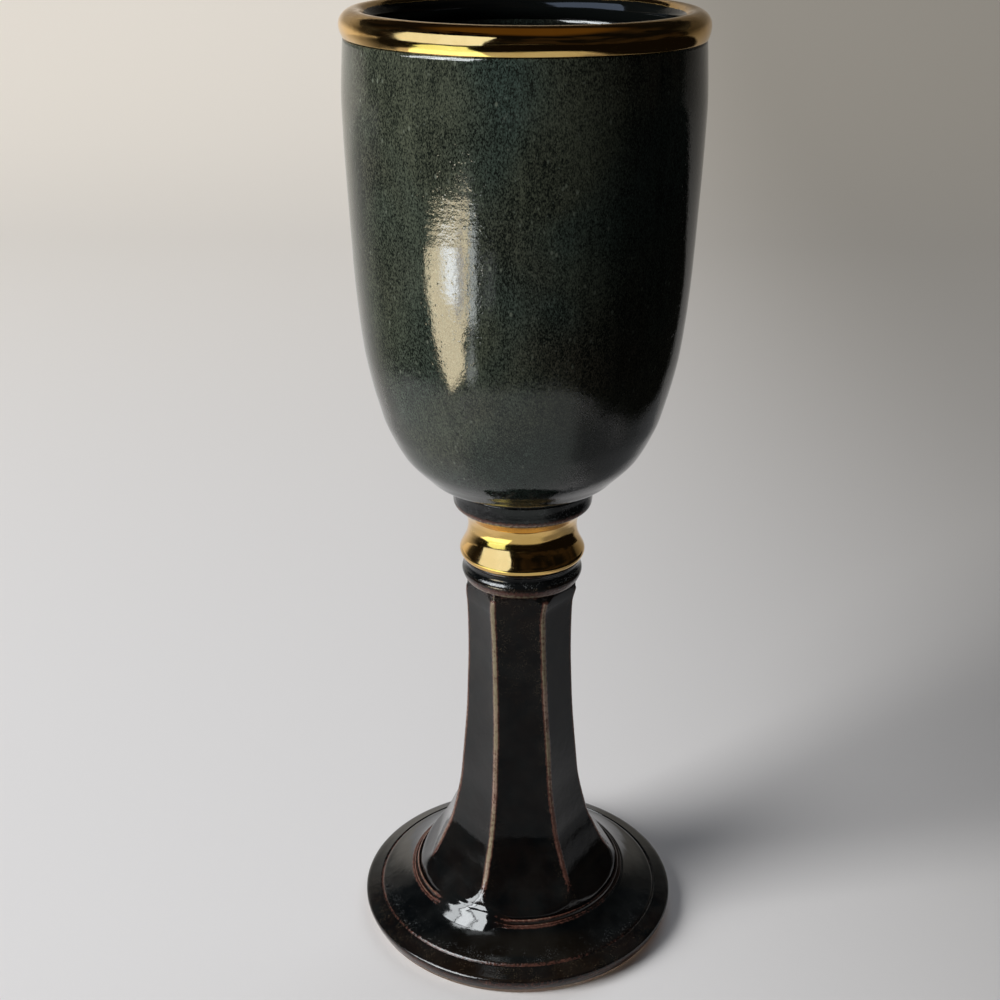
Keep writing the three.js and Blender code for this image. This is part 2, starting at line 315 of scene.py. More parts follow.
def make_dark_glaze():
    """Mirror-black glaze that breaks to rust and tan where it runs thin over an edge
    (attribute brk), with a mist of fine tan specks in places (mist), a warm cast (brown)
    and bare clay at the foot's rim, underneath and inside the joints (bare). On the foot,
    the base coil and the neck ring the rust and tan are also painted stronger on the side
    towards the window light: painted light."""
    m = bpy.data.materials.new("tenmoku_black_glaze")
    t = Tree(m)
    p = t.point()
    brk_and_light, bare, brown, mist = (t.attribute(k) for k in ("brk_and_light", "bare", "brown", "mist"))
    ragged = t.noise(p, 1300, 3.0, 0.6)
    slow = t.noise(p, 95, 3.0, 0.55)
    edge = t.math("ADD", brk_and_light, t.range(ragged, 0.3, 0.7, -0.18, 0.18))
    edge = t.math("ADD", edge, t.range(slow, 0.3, 0.7, -0.12, 0.08))
    rust = t.math("MULTIPLY", t.range(edge, 0.10, 0.62), t.range(brk_and_light, 0.03, 0.16))
    hot = t.math("MULTIPLY", t.range(edge, 0.62, 1.00), t.range(brk_and_light, 0.45, 0.8))
    glaze = t.mix(t.range(slow, 0.35, 0.7), rgb(0.0016, 0.0021, 0.0025), rgb(0.0056, 0.0064, 0.0066))
    warm = t.math("MULTIPLY", brown, t.range(t.noise(p, 150, 4.0, 0.65), 0.30, 0.62))
    glaze = t.mix(t.math("MULTIPLY", warm, 0.85), glaze, rgb(0.024, 0.0100, 0.0055))
    dots = t.range(t.noise(p, 3000, 1.5, 0.6), 0.545, 0.66)
    dots = t.math("MULTIPLY", dots, t.math("MULTIPLY", mist, t.range(t.noise(p, 330, 3.0, 0.6), 0.42, 0.62)))
    sand = t.mix(t.range(brown, 0.02, 0.09), rgb(0.115, 0.122, 0.128), rgb(0.064, 0.050, 0.034))
    glaze = t.mix(t.math("MULTIPLY", dots, 0.8), glaze, sand)
    specks = t.math("MULTIPLY", t.range(t.cells(p, 520), 0.13, 0.06),
                    t.range(t.noise(p, 160, 1.0), 0.58, 0.68))
    glaze = t.mix(t.math("MULTIPLY", specks, 0.30), glaze, rgb(0.040, 0.030, 0.022))
    olive = t.noise(p, 60, 1.0)
    tan = t.mix(t.range(olive, 0.42, 0.58), rgb(0.250, 0.176, 0.140), rgb(0.190, 0.160, 0.105))
    line = t.mix(hot, rgb(0.078, 0.033, 0.025), tan)
    colour = t.mix(rust, glaze, line)
    grain = t.noise(p, 1500, 4.0, 0.7)
    clay = t.mix(t.range(grain, 0.35, 0.65), rgb(0.105, 0.070, 0.045), rgb(0.20, 0.145, 0.098))
    clay = t.mix(t.range(slow, 0.35, 0.6), clay, rgb(0.13, 0.075, 0.045))
    bared = t.range(t.math("ADD", bare, t.range(ragged, 0.3, 0.7, -0.15, 0.15)), 0.40, 0.60)
    colour = t.mix(bared, colour, clay)
    shine = t.range(t.noise(p, 200, 2.0), 0.3, 0.7, 0.055, 0.11)
    rough = t.math("ADD", shine, t.math("MULTIPLY", rust, 0.14))
    rough = t.math("ADD", rough, t.math("MULTIPLY", bared, 0.50), clamp=True)
    peel = t.bump(t.noise(p, 150, 2.0, 0.5), 0.00006)
    peel = t.bump(t.noise(p, 420, 2.0, 0.55), 0.000024, 1.0, peel)
    peel = t.bump(t.math("MULTIPLY", t.noise(p, 2100, 2.0, 0.6), mist), 0.000042, 1.0, peel)
    broken = t.math("MULTIPLY", ragged, t.math("ADD", 0.12, t.math("MULTIPLY", rust, 0.88)))
    rub = t.bump(broken, 0.00007, 1.0, peel)
    t.surface(Base_Color=colour, Roughness=rough, IOR=1.50, Normal=rub)
    return m


def make_gold():
    """Fired gold lustre over glaze: a mirror that is a little worn and clouded, with fine
    brush lines round the piece. Where the lustre stops (attribute gilt) the black glaze shows."""
    m = bpy.data.materials.new("fired_gold_lustre")
    t = Tree(m)
    p = t.point()
    slow = t.noise(p, 120, 3.0, 0.6)
    brush = t.noise(t.point((0.12, 0.12, 1)), 1500, 3.0, 0.6)
    worn = t.math("MULTIPLY", t.attribute("wear"), t.range(t.noise(p, 800, 3.0, 0.6), 0.40, 0.62))
    pin = t.math("MULTIPLY", t.range(t.cells(p, 380), 0.10, 0.04),
                 t.range(t.noise(p, 140, 1.0), 0.58, 0.68))
    gilt = t.math("ADD", t.attribute("gilt"), t.range(t.noise(p, 700, 3.0, 0.6), 0.3, 0.7, -0.2, 0.2))
    gilt = t.range(gilt, 0.42, 0.58)
    gold = t.mix(t.range(slow, 0.3, 0.7), rgb(0.90, 0.585, 0.215), rgb(0.84, 0.520, 0.175))
    gold = t.mix(t.math("MULTIPLY", worn, 0.6), gold, rgb(0.40, 0.22, 0.10))
    gold = t.mix(t.math("MULTIPLY", pin, 0.8), gold, rgb(0.20, 0.09, 0.03))
    colour = t.mix(gilt, rgb(0.0025, 0.0030, 0.0028), gold)
    rough = t.range(slow, 0.3, 0.7, 0.05, 0.11)
    rough = t.math("ADD", rough, t.range(brush, 0.4, 0.7, 0.0, 0.05))
    rough = t.math("ADD", rough, t.math("MULTIPLY", worn, 0.12))
    wave = t.bump(t.noise(p, 110, 2.0, 0.5), 0.00010)
    lines = t.bump(brush, 0.000004, 1.0, wave)
    t.surface(Base_Color=colour, Metallic=gilt, Roughness=rough, IOR=1.54, Normal=lines)
    return m


def make_slip_clay():
    """Fired luting slip: matt, grainy buff clay."""
    m = bpy.data.materials.new("fired_luting_slip")
    t = Tree(m)
    p = t.point()
    grain = t.noise(p, 1600, 4.0, 0.7)
    colour = t.mix(t.range(grain, 0.35, 0.65), rgb(0.22, 0.15, 0.10), rgb(0.40, 0.30, 0.21))
    t.surface(
        Base_Color=colour,
        Roughness=t.range(t.noise(p, 300, 2.0), 0.3, 0.7, 0.75, 0.95),
        Normal=t.bump(grain, 0.00008),
    )
    return m


CUP, DARK, GOLD, SLIP = make_cup_glaze(), make_dark_glaze(), make_gold(), make_slip_clay()

# ------------------------------------------------------------------ foot
foot_profile = join(
    smooth([[36.2, 0.35], [36.6, 0.0]], 0.3),
    [[37.5, 0.0], [39.0, 0.0], [40.5, 0.0], [41.6, 0.0]],
    smooth([[42.15, 0.08], [42.45, 0.45], [42.9, 1.2], [43.3, 2.0], [43.65, 3.0],
            [43.95, 3.9], [44.0, 4.4], [43.88, 4.85], [43.4, 5.2], [42.6, 5.52], [41.4, 5.95],
            [40.5, 6.28], [39.85, 6.52]], 0.22),
    smooth([[39.66, 6.50], [39.50, 6.34], [39.36, 6.34], [39.22, 6.58], [39.0, 6.82]], 0.08),
    smooth([[38.6, 7.0], [37.4, 7.5], [36, 8.18], [34.5, 9.0], [33, 9.9], [31.9, 10.66],
            [31.1, 11.28], [30.5, 11.78], [30.15, 11.9]], 0.25),
    [[30.08, 11.7], [30.05, 11.2], [30.05, 9.8]],
    [[28.0, 9.75], [24.0, 9.75], [20.6, 9.75], [20.3, 9.5], [20.3, 8.0], [20.3, 6.2]],
    smooth([[20.45, 5.5], [21.2, 5.25], [25, 5.0], [28.0, 4.75], [31, 4.2], [33.4, 3.2],
            [35.0, 1.9], [35.8, 1.0], [36.2, 0.35]], 0.5),
)


def side_of(t, centre, width):
    """1 at the angle centre (degrees, 0 at the front, growing towards +X), 0 beyond width."""
    d = np.abs((np.degrees(t) - centre + 180) % 360 - 180)
    return 1 - ramp(d, width * 0.45, width)


def puddle(t):
    """Where thick glaze fills the step between stem and foot, left of the front."""
    return side_of(t, -29, 27)


def foot_marks(r, z, t):
    """Where the glaze runs thin: the incised groove's lips, the upper edge and the step. On the groove and the step
    the marks are painted stronger on the side towards the window light (lit): painted light.
    """
    # Painted light: the rust of the groove and the step is stronger on the side towards the window light.
    lit = 0.13 + 0.27 * side_of(t, -50, 115)
    groove = bump_at(r, 39.28, 0.40) * (z > 5.6) * lit
    step = bump_at(r, 30.25, 0.38) * (z > 11.0) * (0.10 + 0.62 * side_of(t, -50, 115))
    step = step * (1 - puddle(t))
    rim = bump_at(z, 3.6, 1.1) * (r > 43.0) * (0.22 + 0.16 * side_of(t, -10, 80))
    return np.maximum.reduce([groove, step, rim])


def foot_bare(r, z, t):
    line = 1.75 + 0.25 * np.sin(t * 3 + 1) + 0.18 * np.sin(t * 7)
    outer = (r > 41.0) * (1 - ramp(z, line - 0.6, line + 0.6))
    under = ((r < 41.01) & (z < 6.0) & (r > 20.0)) * 1.0
    under = np.where((r <= 36.3) & (r > 20.0) & (z <= 5.6), 1.0, under)
    return np.clip(np.maximum(outer, under), 0, 1)


def foot_mist(r, z, t):
    return (r > 33) * (z > 2.5) * (0.12 + 0.45 * side_of(t, -15, 95)) * ramp(r, 33, 40)


def foot_brown(r, z, t):
    return np.clip(ramp(r, 36.5, 42.0) * 0.17 * side_of(t, -5, 110) + ramp(-z, -4.4, -2.2) * 0.6, 0, 1)


foot = lathe("foot_turned", foot_profile, 288, amount=0.5,
             attributes={"brk_and_light": foot_marks, "bare": foot_bare, "brown": foot_brown,
                         "mist": foot_mist})
finish_piece(foot, DARK, "dark_glaze", "foot")

# ------------------------------------------------------------------ faceted stem
RIDGES = [-24.1, 31.1, 82.0, 133.0, 184.0, 235.0, 286.0]
STRIP = 0.34                     # half width of the uncut strip along a ridge
stem_round = smooth([
    [28.15, 12.9], [28.15, 13.4], [28.05, 15], [27.0, 17.2], [25.4, 19.5], [23.9, 22], [21.8, 26.4],
    [19.8, 30.8], [18.6, 35.2], [17.55, 39.6], [16.75, 44.0], [16.1, 50.6], [15.5, 57.2],
    [14.8, 66], [14.4, 74.8], [14.12, 84], [14.2, 94.6], [14.42, 98.5], [14.7, 100.3],
    [14.88, 101.8], [14.92, 103.0], [14.86, 103.9], [14.7, 104.35]], 0.8)
stem_round = stem_round[np.argsort(stem_round[:, 1])]
rows = np.unique(np.round(np.concatenate([
    np.arange(12.9, 21.5, 0.22), np.arange(21.5, 97.5, 0.9), np.arange(97.5, 104.3, 0.17),
    [104.35]]), 3))
round_r = np.interp(rows, stem_round[:, 1], stem_round[:, 0])


def twist_at(z):
    return np.interp(z, [5, 20, 60, 97, 112], [2.6, 2.5, 0, -5.8, -6.4])


# Angle steps: close together beside each ridge, wider across a facet.
side = np.array([0, 0.14, 0.28, 0.42, 0.56, 0.72, 0.92, 1.2, 1.6, 2.2, 3.0, 4.0, 5.1, 6.3])
columns = []
for i, a0 in enumerate(RIDGES):
    a1 = RIDGES[i + 1] if i + 1 < len(RIDGES) else RIDGES[0] + 360
    half = (a1 - a0) / 2
    steps = np.degrees(side / 14.2)
    steps = steps[steps < half - 1.0]
    for d in steps:
        columns.append((a0 + d, -half + d, half))
    columns.append(((a0 + a1) / 2, 0.0, half))
    for d in steps[:0:-1]:
        columns.append((a1 - d, half - d, half))
columns.sort()
col_angle = np.array([c[0] for c in columns])
col_off = np.radians([c[1] for c in columns])
col_half = np.radians([c[2] for c in columns])
# How strongly the glaze breaks on the ridge nearest to each column.
RIDGE_BREAK = [1.04, 1.0, 0.80, 0.72, 0.84, 0.70, 0.78]
RIDGE_NOTCH = [0.14, 0.46, 0.20, 0.40, 0.30, 0.45, 0.15]


def nearest_ridge(table):
    out = []
    for c in columns:
        d = [abs((c[0] - a + 180) % 360 - 180) for a in RIDGES]
        out.append(table[int(np.argmin(d))])
    return np.array(out)


col_break, col_notch = nearest_ridge(RIDGE_BREAK), nearest_ridge(RIDGE_NOTCH)


def cut_width(z, half_cut):
    """Half angle of the facet cut at height z. It closes in an arch at the foot."""
    low = np.sqrt(np.clip(1 - np.clip((19.6 - z) / 6.0, 0, 1) ** 2, 0, 1))
    return half_cut * low


def stem_grid():
    z = np.repeat(rows[:, None], len(col_off), 1)
    base = np.repeat(round_r[:, None], len(col_off), 1)
    cut = col_half[None] - STRIP / base
    b = cut_width(z, cut)
    off = np.abs(col_off)[None]
    flat = base * np.cos(b) / np.cos(off)
    # A cut facet is very slightly hollow between its ridges.
    hollow = 0.10 * np.clip(1 - (off / np.maximum(b, 1e-3)) ** 2, 0, 1) * ramp(b, 0.1, 0.4)
    flat = flat - hollow
    k = 0.22 + 1.3 * (1 - ramp(z, 14.5, 21.0))
    h = np.clip(0.5 + 0.5 * (flat - base) / k, 0, 1)
    r = flat * (1 - h) + base * h - k * h * (1 - h) * 0.5
    # Under the neck ring a ridge ends in a small scooped notch.
    side_mm = (col_half[None] - off) * base
    reach = 0.35 + 0.62 * (z - 101.9)
    scoop = ramp(z, 101.9, 102.9) * (1 - ramp(side_mm, reach - 0.25, reach + 0.80))
    r = r - scoop * col_notch[None] * np.clip(r - 13.35, 0, 1.5)
    # Distance in mm from the line between cut and uncut clay.
    g = (off - b) * base
    gz = np.gradient(g, rows, axis=0)
    dist = np.abs(g) / np.sqrt(1 + np.clip(gz, -30, 30) ** 2)
    middle = ramp(z, 17.0, 22.0)
    strength = 0.10 + 0.90 * middle
    line = np.exp(-(dist / 0.46) ** 2) * strength
    strip = (g > -0.05) * middle * 0.88
    brk_and_light = np.maximum(line, strip) * col_break[None]
    second = nearest_ridge([0, 1, 0, 0, 0, 0, 0])[None]
    brk_and_light = brk_and_light * (1 - 0.30 * second * (1 - ramp(z, 34, 62)))
    brk_and_light = brk_and_light * (1 - 0.85 * scoop) + 0.30 * bump_at(z, 103.9, 0.5) * (1 - scoop)
    # A mist of fine specks beside the ridges and over the upper part of the front facets.
    near = np.exp(-(side_mm / 2.2) ** 2)
    mist = np.clip(0.55 * near + ramp(z, 58, 84) * (0.35 + 0.3 * near), 0, 1)
    return r, z, brk_and_light, mist


outer_r, outer_z, outer_brk, outer_mist = stem_grid()
hollow_profile = join(
    [[0, 96.4]], smooth([[1.2, 96.3], [4.2, 95.4], [6.4, 92.8], [7.0, 88], [7.2, 74], [7.9, 60],
                         [9.4, 45], [12.7, 30], [14.6, 17], [15.75, 6.2]], 2.0),
    [[16.1, 5.5], [17.5, 5.4], [19.6, 5.4], [19.95, 5.7], [20.0, 7.5], [20.0, 9.9],
     [24.0, 9.9], [28.0, 9.9], [28.15, 10.2], [28.15, 11.6]])
tenon_profile = join([[12.0, 104.38], [9.1, 104.38], [9.0, 104.6], [9.0, 109.0], [9.0, 113.9],
                      [8.4, 114.5], [4.0, 114.5], [0, 114.5]])


def stem_piece():
    n = len(columns)
    rings, brk_and_light, bare, mist = [], [], [], []
    for r, z in hollow_profile:
        rings.append((np.full(n, r), np.full(n, z)))
        brk_and_light.append(np.zeros(n))
        bare.append(np.ones(n))
        mist.append(np.zeros(n))
    for i in range(len(rows)):
        rings.append((outer_r[i], outer_z[i]))
        brk_and_light.append(outer_brk[i])
        bare.append(np.zeros(n))
        mist.append(outer_mist[i])
    for r, z in tenon_profile:
        rings.append((np.full(n, r), np.full(n, z)))
        brk_and_light.append(np.zeros(n))
        bare.append(np.ones(n))
        mist.append(np.zeros(n))
    r = np.array([q[0] for q in rings])
    z = np.array([q[1] for q in rings])
    a = np.radians(col_angle[None] + twist_at(z))
    r = np.where(r > 1.0, r + 0.35 * thrown(a, z * 0.6), r)
    xyz = np.stack([r * np.sin(a) + offset_x(z), -r * np.cos(a), z], 2)
    return build_mesh("stem_faceted", xyz, False,
                      {"brk_and_light": np.array(brk_and_light), "bare": np.array(bare),
                       "brown": 0.10 + 0.12 * ramp(z, 88, 102), "mist": np.array(mist)})


stem = stem_piece()
finish_piece(stem, DARK, "dark_glaze", "stem")

# ------------------------------------------------------------------ coil round the stem's base
coil_profile = join(
    [[28.3, 10.0], [29.2, 9.95], [30.0, 9.95]],
    smooth([[30.03, 10.4], [30.03, 11.5], [29.98, 11.96], [29.78, 12.16], [29.56, 12.10],
            [29.40, 12.04], [29.27, 12.14], [29.15, 12.55], [29.0, 12.98], [28.76, 13.2],
            [28.5, 13.2], [28.3, 13.0]], 0.1),
    [[28.3, 12.0], [28.3, 11.0]],
)


def stem_radius(t, z):
    """The stem's outer radius at these angles and heights."""
    a = (np.degrees(t) - twist_at(z) + 24.1) % 360 - 24.1
    row = np.clip(np.searchsorted(rows, z), 0, len(rows) - 1)
    hi = np.clip(np.searchsorted(col_angle, a), 1, len(col_angle) - 1)
    f = np.clip((a - col_angle[hi - 1]) / (col_angle[hi] - col_angle[hi - 1]), 0, 1)
    return outer_r[row, hi - 1] * (1 - f) + outer_r[row, hi] * f


# The fillet's section: how far it stands off the stem, and its height.
FILLET = smooth([[3.9, 10.50], [3.35, 11.14], [2.55, 12.02], [1.75, 12.80], [1.08, 13.60], [0.55, 14.45],
                 [0.18, 15.35], [-0.18, 16.4]], 0.2)


def coil_soften(r, z, t):
    """Left of the front the coil lies under a fillet of thick glaze from stem to foot."""
    outer = (z > 10.35) & ~((r < 28.45) & (z < 12.9))
    u = np.clip(((30.03 - r) + 0.9 * (z - 10.4)) / 4.0, 0, 1) * (len(FILLET) - 1)
    high = np.interp(u, np.arange(len(FILLET)), FILLET[:, 1])
    wide = stem_radius(t, high) + np.interp(u, np.arange(len(FILLET)), FILLET[:, 0])
    f = puddle(t) * outer
    return r + f * (wide - r), z + f * (high - z)


def coil_marks(r, z, t):
    outer = bump_at(r, 29.80, 0.30) * (z > 11.5)
    inner = bump_at(r, 28.85, 0.22) * (z > 12.6)
    # Painted light: the rust is stronger on the side towards the window light; under the glaze fillet there is none.
    fade = (0.10 + 0.82 * side_of(t, -50, 115)) * (1 - puddle(t))
    return np.maximum(outer * 0.85, inner * 0.95) * fade * (0.9 + 0.1 * np.sin(5 * t))


coil = lathe("base_coil_smoothed", coil_profile, 288, amount=0.5, change=coil_soften,
             attributes={"brk_and_light": coil_marks, "bare": lambda r, z, t: r * 0,
                         "brown": lambda r, z, t: 0.35 * (1 - puddle(t)) + 0 * r,
                         "mist": lambda r, z, t: 0.2 * (1 - puddle(t)) + 0 * r})
finish_piece(coil, DARK, "dark_glaze", "base_coil")

# ------------------------------------------------------------------ neck ring
ring_profile = join(
    [[9.3, 104.5], [12.0, 104.45], [14.2, 104.4]],
    smooth([[14.5, 104.36], [14.85, 104.48], [15.15, 104.85], [15.5, 105.55], [15.8, 106.3],
            [15.9, 107.0], [15.76, 107.65], [15.45, 108.25], [15.24, 108.95], [15.22, 109.55],
            [15.36, 110.1], [15.6, 110.5], [15.7, 110.8], [15.6, 111.0]], 0.12),
    [[15.2, 111.05], [12.0, 111.05], [9.3, 111.05]],
)


def ring_marks(r, z, t):
    low = 0.66 * ramp(-z, -107.2, -105.6) + 0.22 * bump_at(z, 104.9, 0.35)
    top = 0.25 * bump_at(z, 110.7, 0.25)
    # Painted light: the rust and tan are a little stronger on the side towards the window light.
    return np.maximum(low, top) * (r > 14.6) * (0.72 + 0.28 * side_of(t, -30, 120))


ring = lathe("neck_ring_bead", ring_profile, 240, amount=0.6, attributes={
    "brk_and_light": ring_marks,
    "bare": lambda r, z, t: (r < 14.3) * 1.0,
    "brown": lambda r, z, t: 0.8 * ramp(-z, -108.0, -106.0),
    "mist": lambda r, z, t: 0.25 + 0.75 * ramp(-z, -109.6, -108.2)})
finish_piece(ring, DARK, "dark_glaze", "neck_ring")

# ------------------------------------------------------------------ gilded knop
knop_profile = join(
    [[0, 114.9], [5.0, 114.9], [9.3, 114.9], [9.3, 113.0], [9.3, 111.1], [12.0, 111.05],
     [15.2, 111.02]],
    smooth([[15.65, 111.02], [15.95, 111.22], [16.25, 111.65], [16.45, 112.2],
            [16.48, 112.7], [16.3, 113.35], [15.87, 114.2], [15.36, 115.2],
            [14.91, 116.2], [14.6, 117.2], [14.42, 118.2], [14.3, 119.7], [14.47, 121.2],
            [14.79, 122.2], [15.25, 123.2], [15.84, 124.0], [16.65, 124.95], [17.15, 125.35],
            [17.2, 125.5]], 0.18),
    [[16.8, 125.45], [13.0, 125.4], [9.3, 125.4], [9.3, 122.0], [9.3, 118.0], [5.0, 118.0],
     [0, 118.0]],
)
knop = lathe("knop_gilded", knop_profile, 240, amount=0.8, closed=False, attributes={
    "wear": lambda r, z, t: np.maximum(0.75 * bump_at(z, 125.1, 0.9), 0.35 * bump_at(z, 111.2, 0.4)),
    "gilt": lambda r, z, t: r * 0 + 1.0,
})
finish_piece(knop, GOLD, "gold_lustre", "knop")

# ------------------------------------------------------------------ collar under the cup
collar_profile = join(
    [[9.3, 125.6], [13.0, 125.55], [16.6, 125.5]],
    smooth([[17.15, 125.5], [17.55, 125.62], [17.88, 125.98], [18.08, 126.6], [18.16, 127.6],
            [18.18, 128.6], [18.24, 129.6], [18.42, 130.5], [18.5, 130.95], [18.42, 131.25],
            [18.15, 131.42]], 0.15),
    [[17.6, 131.45], [14.0, 131.45], [9.3, 131.45]],
)


def collar_marks(r, z, t):
    low = 0.95 * bump_at(z, 126.15, 0.75) + 0.12 * bump_at(z, 131.0, 0.3)
    return low * (r > 16.9) * (0.8 + 0.2 * np.sin(2 * t + 2))


collar = lathe("bowl_collar_turned", collar_profile, 240, amount=0.8, attributes={
    "brk_and_light": collar_marks,
    "bare": lambda r, z, t: (r < 16.7) * 1.0,
    "brown": lambda r, z, t: 0.6 * bump_at(z, 126.0, 1.0),
    "mist": lambda r, z, t: 0.60 + 0.40 * ramp(-z, -128.0, -126.2)})
finish_piece(collar, DARK, "dark_glaze", "bowl_collar")

# ------------------------------------------------------------------ cup
bowl_outer = smooth([
    [18.2, 131.5], [18.75, 131.62], [19.6, 131.95], [20.9, 132.5], [22.4, 133.2],
    [23.87, 134.1], [25.8, 136.05], [27.92, 138.15], [30.05, 140.6], [31.81, 143.5],
    [33.32, 146.6], [34.77, 150], [36.22, 155], [37.68, 160.6], [39.0, 167.2], [40.1, 176], [41.0, 187], [41.55, 198], [42.05, 209], [42.45, 220],
    [42.58, 228.8], [42.15, 237.6], [41.8, 241.8]], 0.75)
bowl_inner = smooth([
    [36.6, 241.9], [37.2, 238.0], [37.75, 233], [37.9, 218], [37.2, 200], [36.2, 184], [34.9, 171],
    [32.6, 159], [29.8, 151], [25.9, 144.8], [20.5, 140.2], [13, 137.3], [6, 136.4],
    [1.5, 136.2]], 1.1)
bowl_profile = join(
    [[0, 118.3], [4.0, 118.3], [8.4, 118.3], [9.0, 118.9], [9.0, 124.0], [9.0, 131.5],
     [14.0, 131.5], [17.6, 131.5]],
    bowl_outer, [[41.3, 242.0], [40.15, 242.0], [40.15, 244.4], [38.25, 244.4], [38.25, 242.0],
                 [37.0, 242.0]], bowl_inner, [[0, 136.2]])


def bowl_change(r, z, t):
    """Wide, soft waves of the thrown wall."""
    wall = ramp(z, 134, 150) * (1 - ramp(z, 236, 241)) * (r > 24)
    r = r + wall * (0.008 * np.sin(z * 0.42 + 1.2 * np.sin(t - 0.7)) + 0.035 * np.sin(2 * t + 0.3 + z * 0.03)
                    + 0.012 * np.sin(5 * t + z * 0.06) * ramp(z, 150, 200))
    return r, z


inner_r = np.interp(np.arange(130, 243), bowl_inner[::-1, 1], bowl_inner[::-1, 0])


def bowl_inside(r, z, t):
    limit = np.interp(z, np.arange(130, 243), inner_r + 2.2)
    return ((r < limit) & (z > 136.0)) * 1.0


bowl = lathe("cup_thrown", bowl_profile, 320, amount=0.7, closed=False, change=bowl_change,
             attributes={"inside": bowl_inside})
finish_piece(bowl, CUP, "cup_glaze", "bowl")

# ------------------------------------------------------------------ rolled gilt rim
bead_profile = join(
    smooth([[41.82, 242.0], [41.95, 242.25], [42.2, 242.8], [42.45, 243.5], [42.6, 244.3],
            [42.6, 245.1], [42.42, 245.9], [42.05, 246.6], [41.5, 247.25], [40.8, 247.75],
            [40.0, 248.1], [39.2, 248.2], [38.4, 248.1], [37.6, 247.75], [36.9, 247.2],
            [36.35, 246.5], [36.0, 245.6], [35.9, 244.7], [36.0, 243.7], [36.25, 242.9],
            [36.7, 242.1]], 0.2),
    [[37.4, 242.2], [37.95, 242.3], [37.95, 245.8], [40.45, 245.8], [40.45, 242.3],
     [41.2, 242.15]],
)


def bead_change(r, z, t):
    """Rolled by hand: the band's lower edge wanders and its thickness varies a little."""
    low = 1 - ramp(z, 242.2, 244.5)
    z = z + low * (-0.22 * np.sin(t) + 0.10 * np.sin(2 * t + 0.8) + 0.06 * np.sin(5 * t))
    r = r + 0.05 * np.sin(3 * t + 1.1) + 0.03 * np.sin(8 * t + z)
    return r, z


def bead_gilt(r, z, t):
    """The lustre covers the outside and the crest, and stops just over the inner edge."""
    stop = 247.15 + 0.12 * np.sin(3 * t + 0.5) + 0.07 * np.sin(9 * t)
    return np.where(r > 38.2, 1.0, ramp(z, stop - 0.35, stop + 0.35))


bead = lathe("rim_bead_gilded", bead_profile, 384, amount=0.0, change=bead_change, attributes={
    "wear": lambda r, z, t: np.maximum(0.55 * bump_at(z, 248.2, 0.35), 0.35 * (r > 41) * bump_at(z, 242.1, 0.5))
    * (0.6 + 0.4 * np.sin(4 * t)),
    "gilt": bead_gilt})
finish_piece(bead, GOLD, "gold_lustre", "rim_bead")

# ------------------------------------------------------------------ slip rings, as in the frame
for key in ("foot_joint_slip", "neck_joint_slip", "knop_lower_slip", "knop_upper_slip",
            "bowl_joint_slip", "rim_joint_slip"):
    node = NODES[key]
    node.data.materials.clear()
    node.data.materials.append(SLIP)

# ------------------------------------------------------------------ camera
PITCH, ROLL, YAW = (math.radians(v) for v in (23.468, 0.142, -0.872))
fwd0 = Vector((math.sin(YAW), math.cos(YAW), 0))
right0 = Vector((math.cos(YAW), -math.sin(YAW), 0))
up0 = Vector((0, 0, 1))
fwd = fwd0 * math.cos(PITCH) - up0 * math.sin(PITCH)
up = fwd0 * math.sin(PITCH) + up0 * math.cos(PITCH)
right = right0 * math.cos(ROLL) + up * math.sin(ROLL)
up = up * math.cos(ROLL) - right0 * math.sin(ROLL)
camera_data = bpy.data.cameras.new("camera")
camera_data.lens = 53.79
camera_data.sensor_width = 36.0
camera_data.sensor_fit = "HORIZONTAL"
camera_data.clip_start = 0.01
camera_data.clip_end = 50.0
camera = bpy.data.objects.new("camera", camera_data)
bpy.context.scene.collection.objects.link(camera)
turn = Matrix((right, up, -fwd)).transposed().to_4x4()
turn.translation = Vector((0, -0.3572, 0.28075))
camera.matrix_world = turn
bpy.context.scene.camera = camera


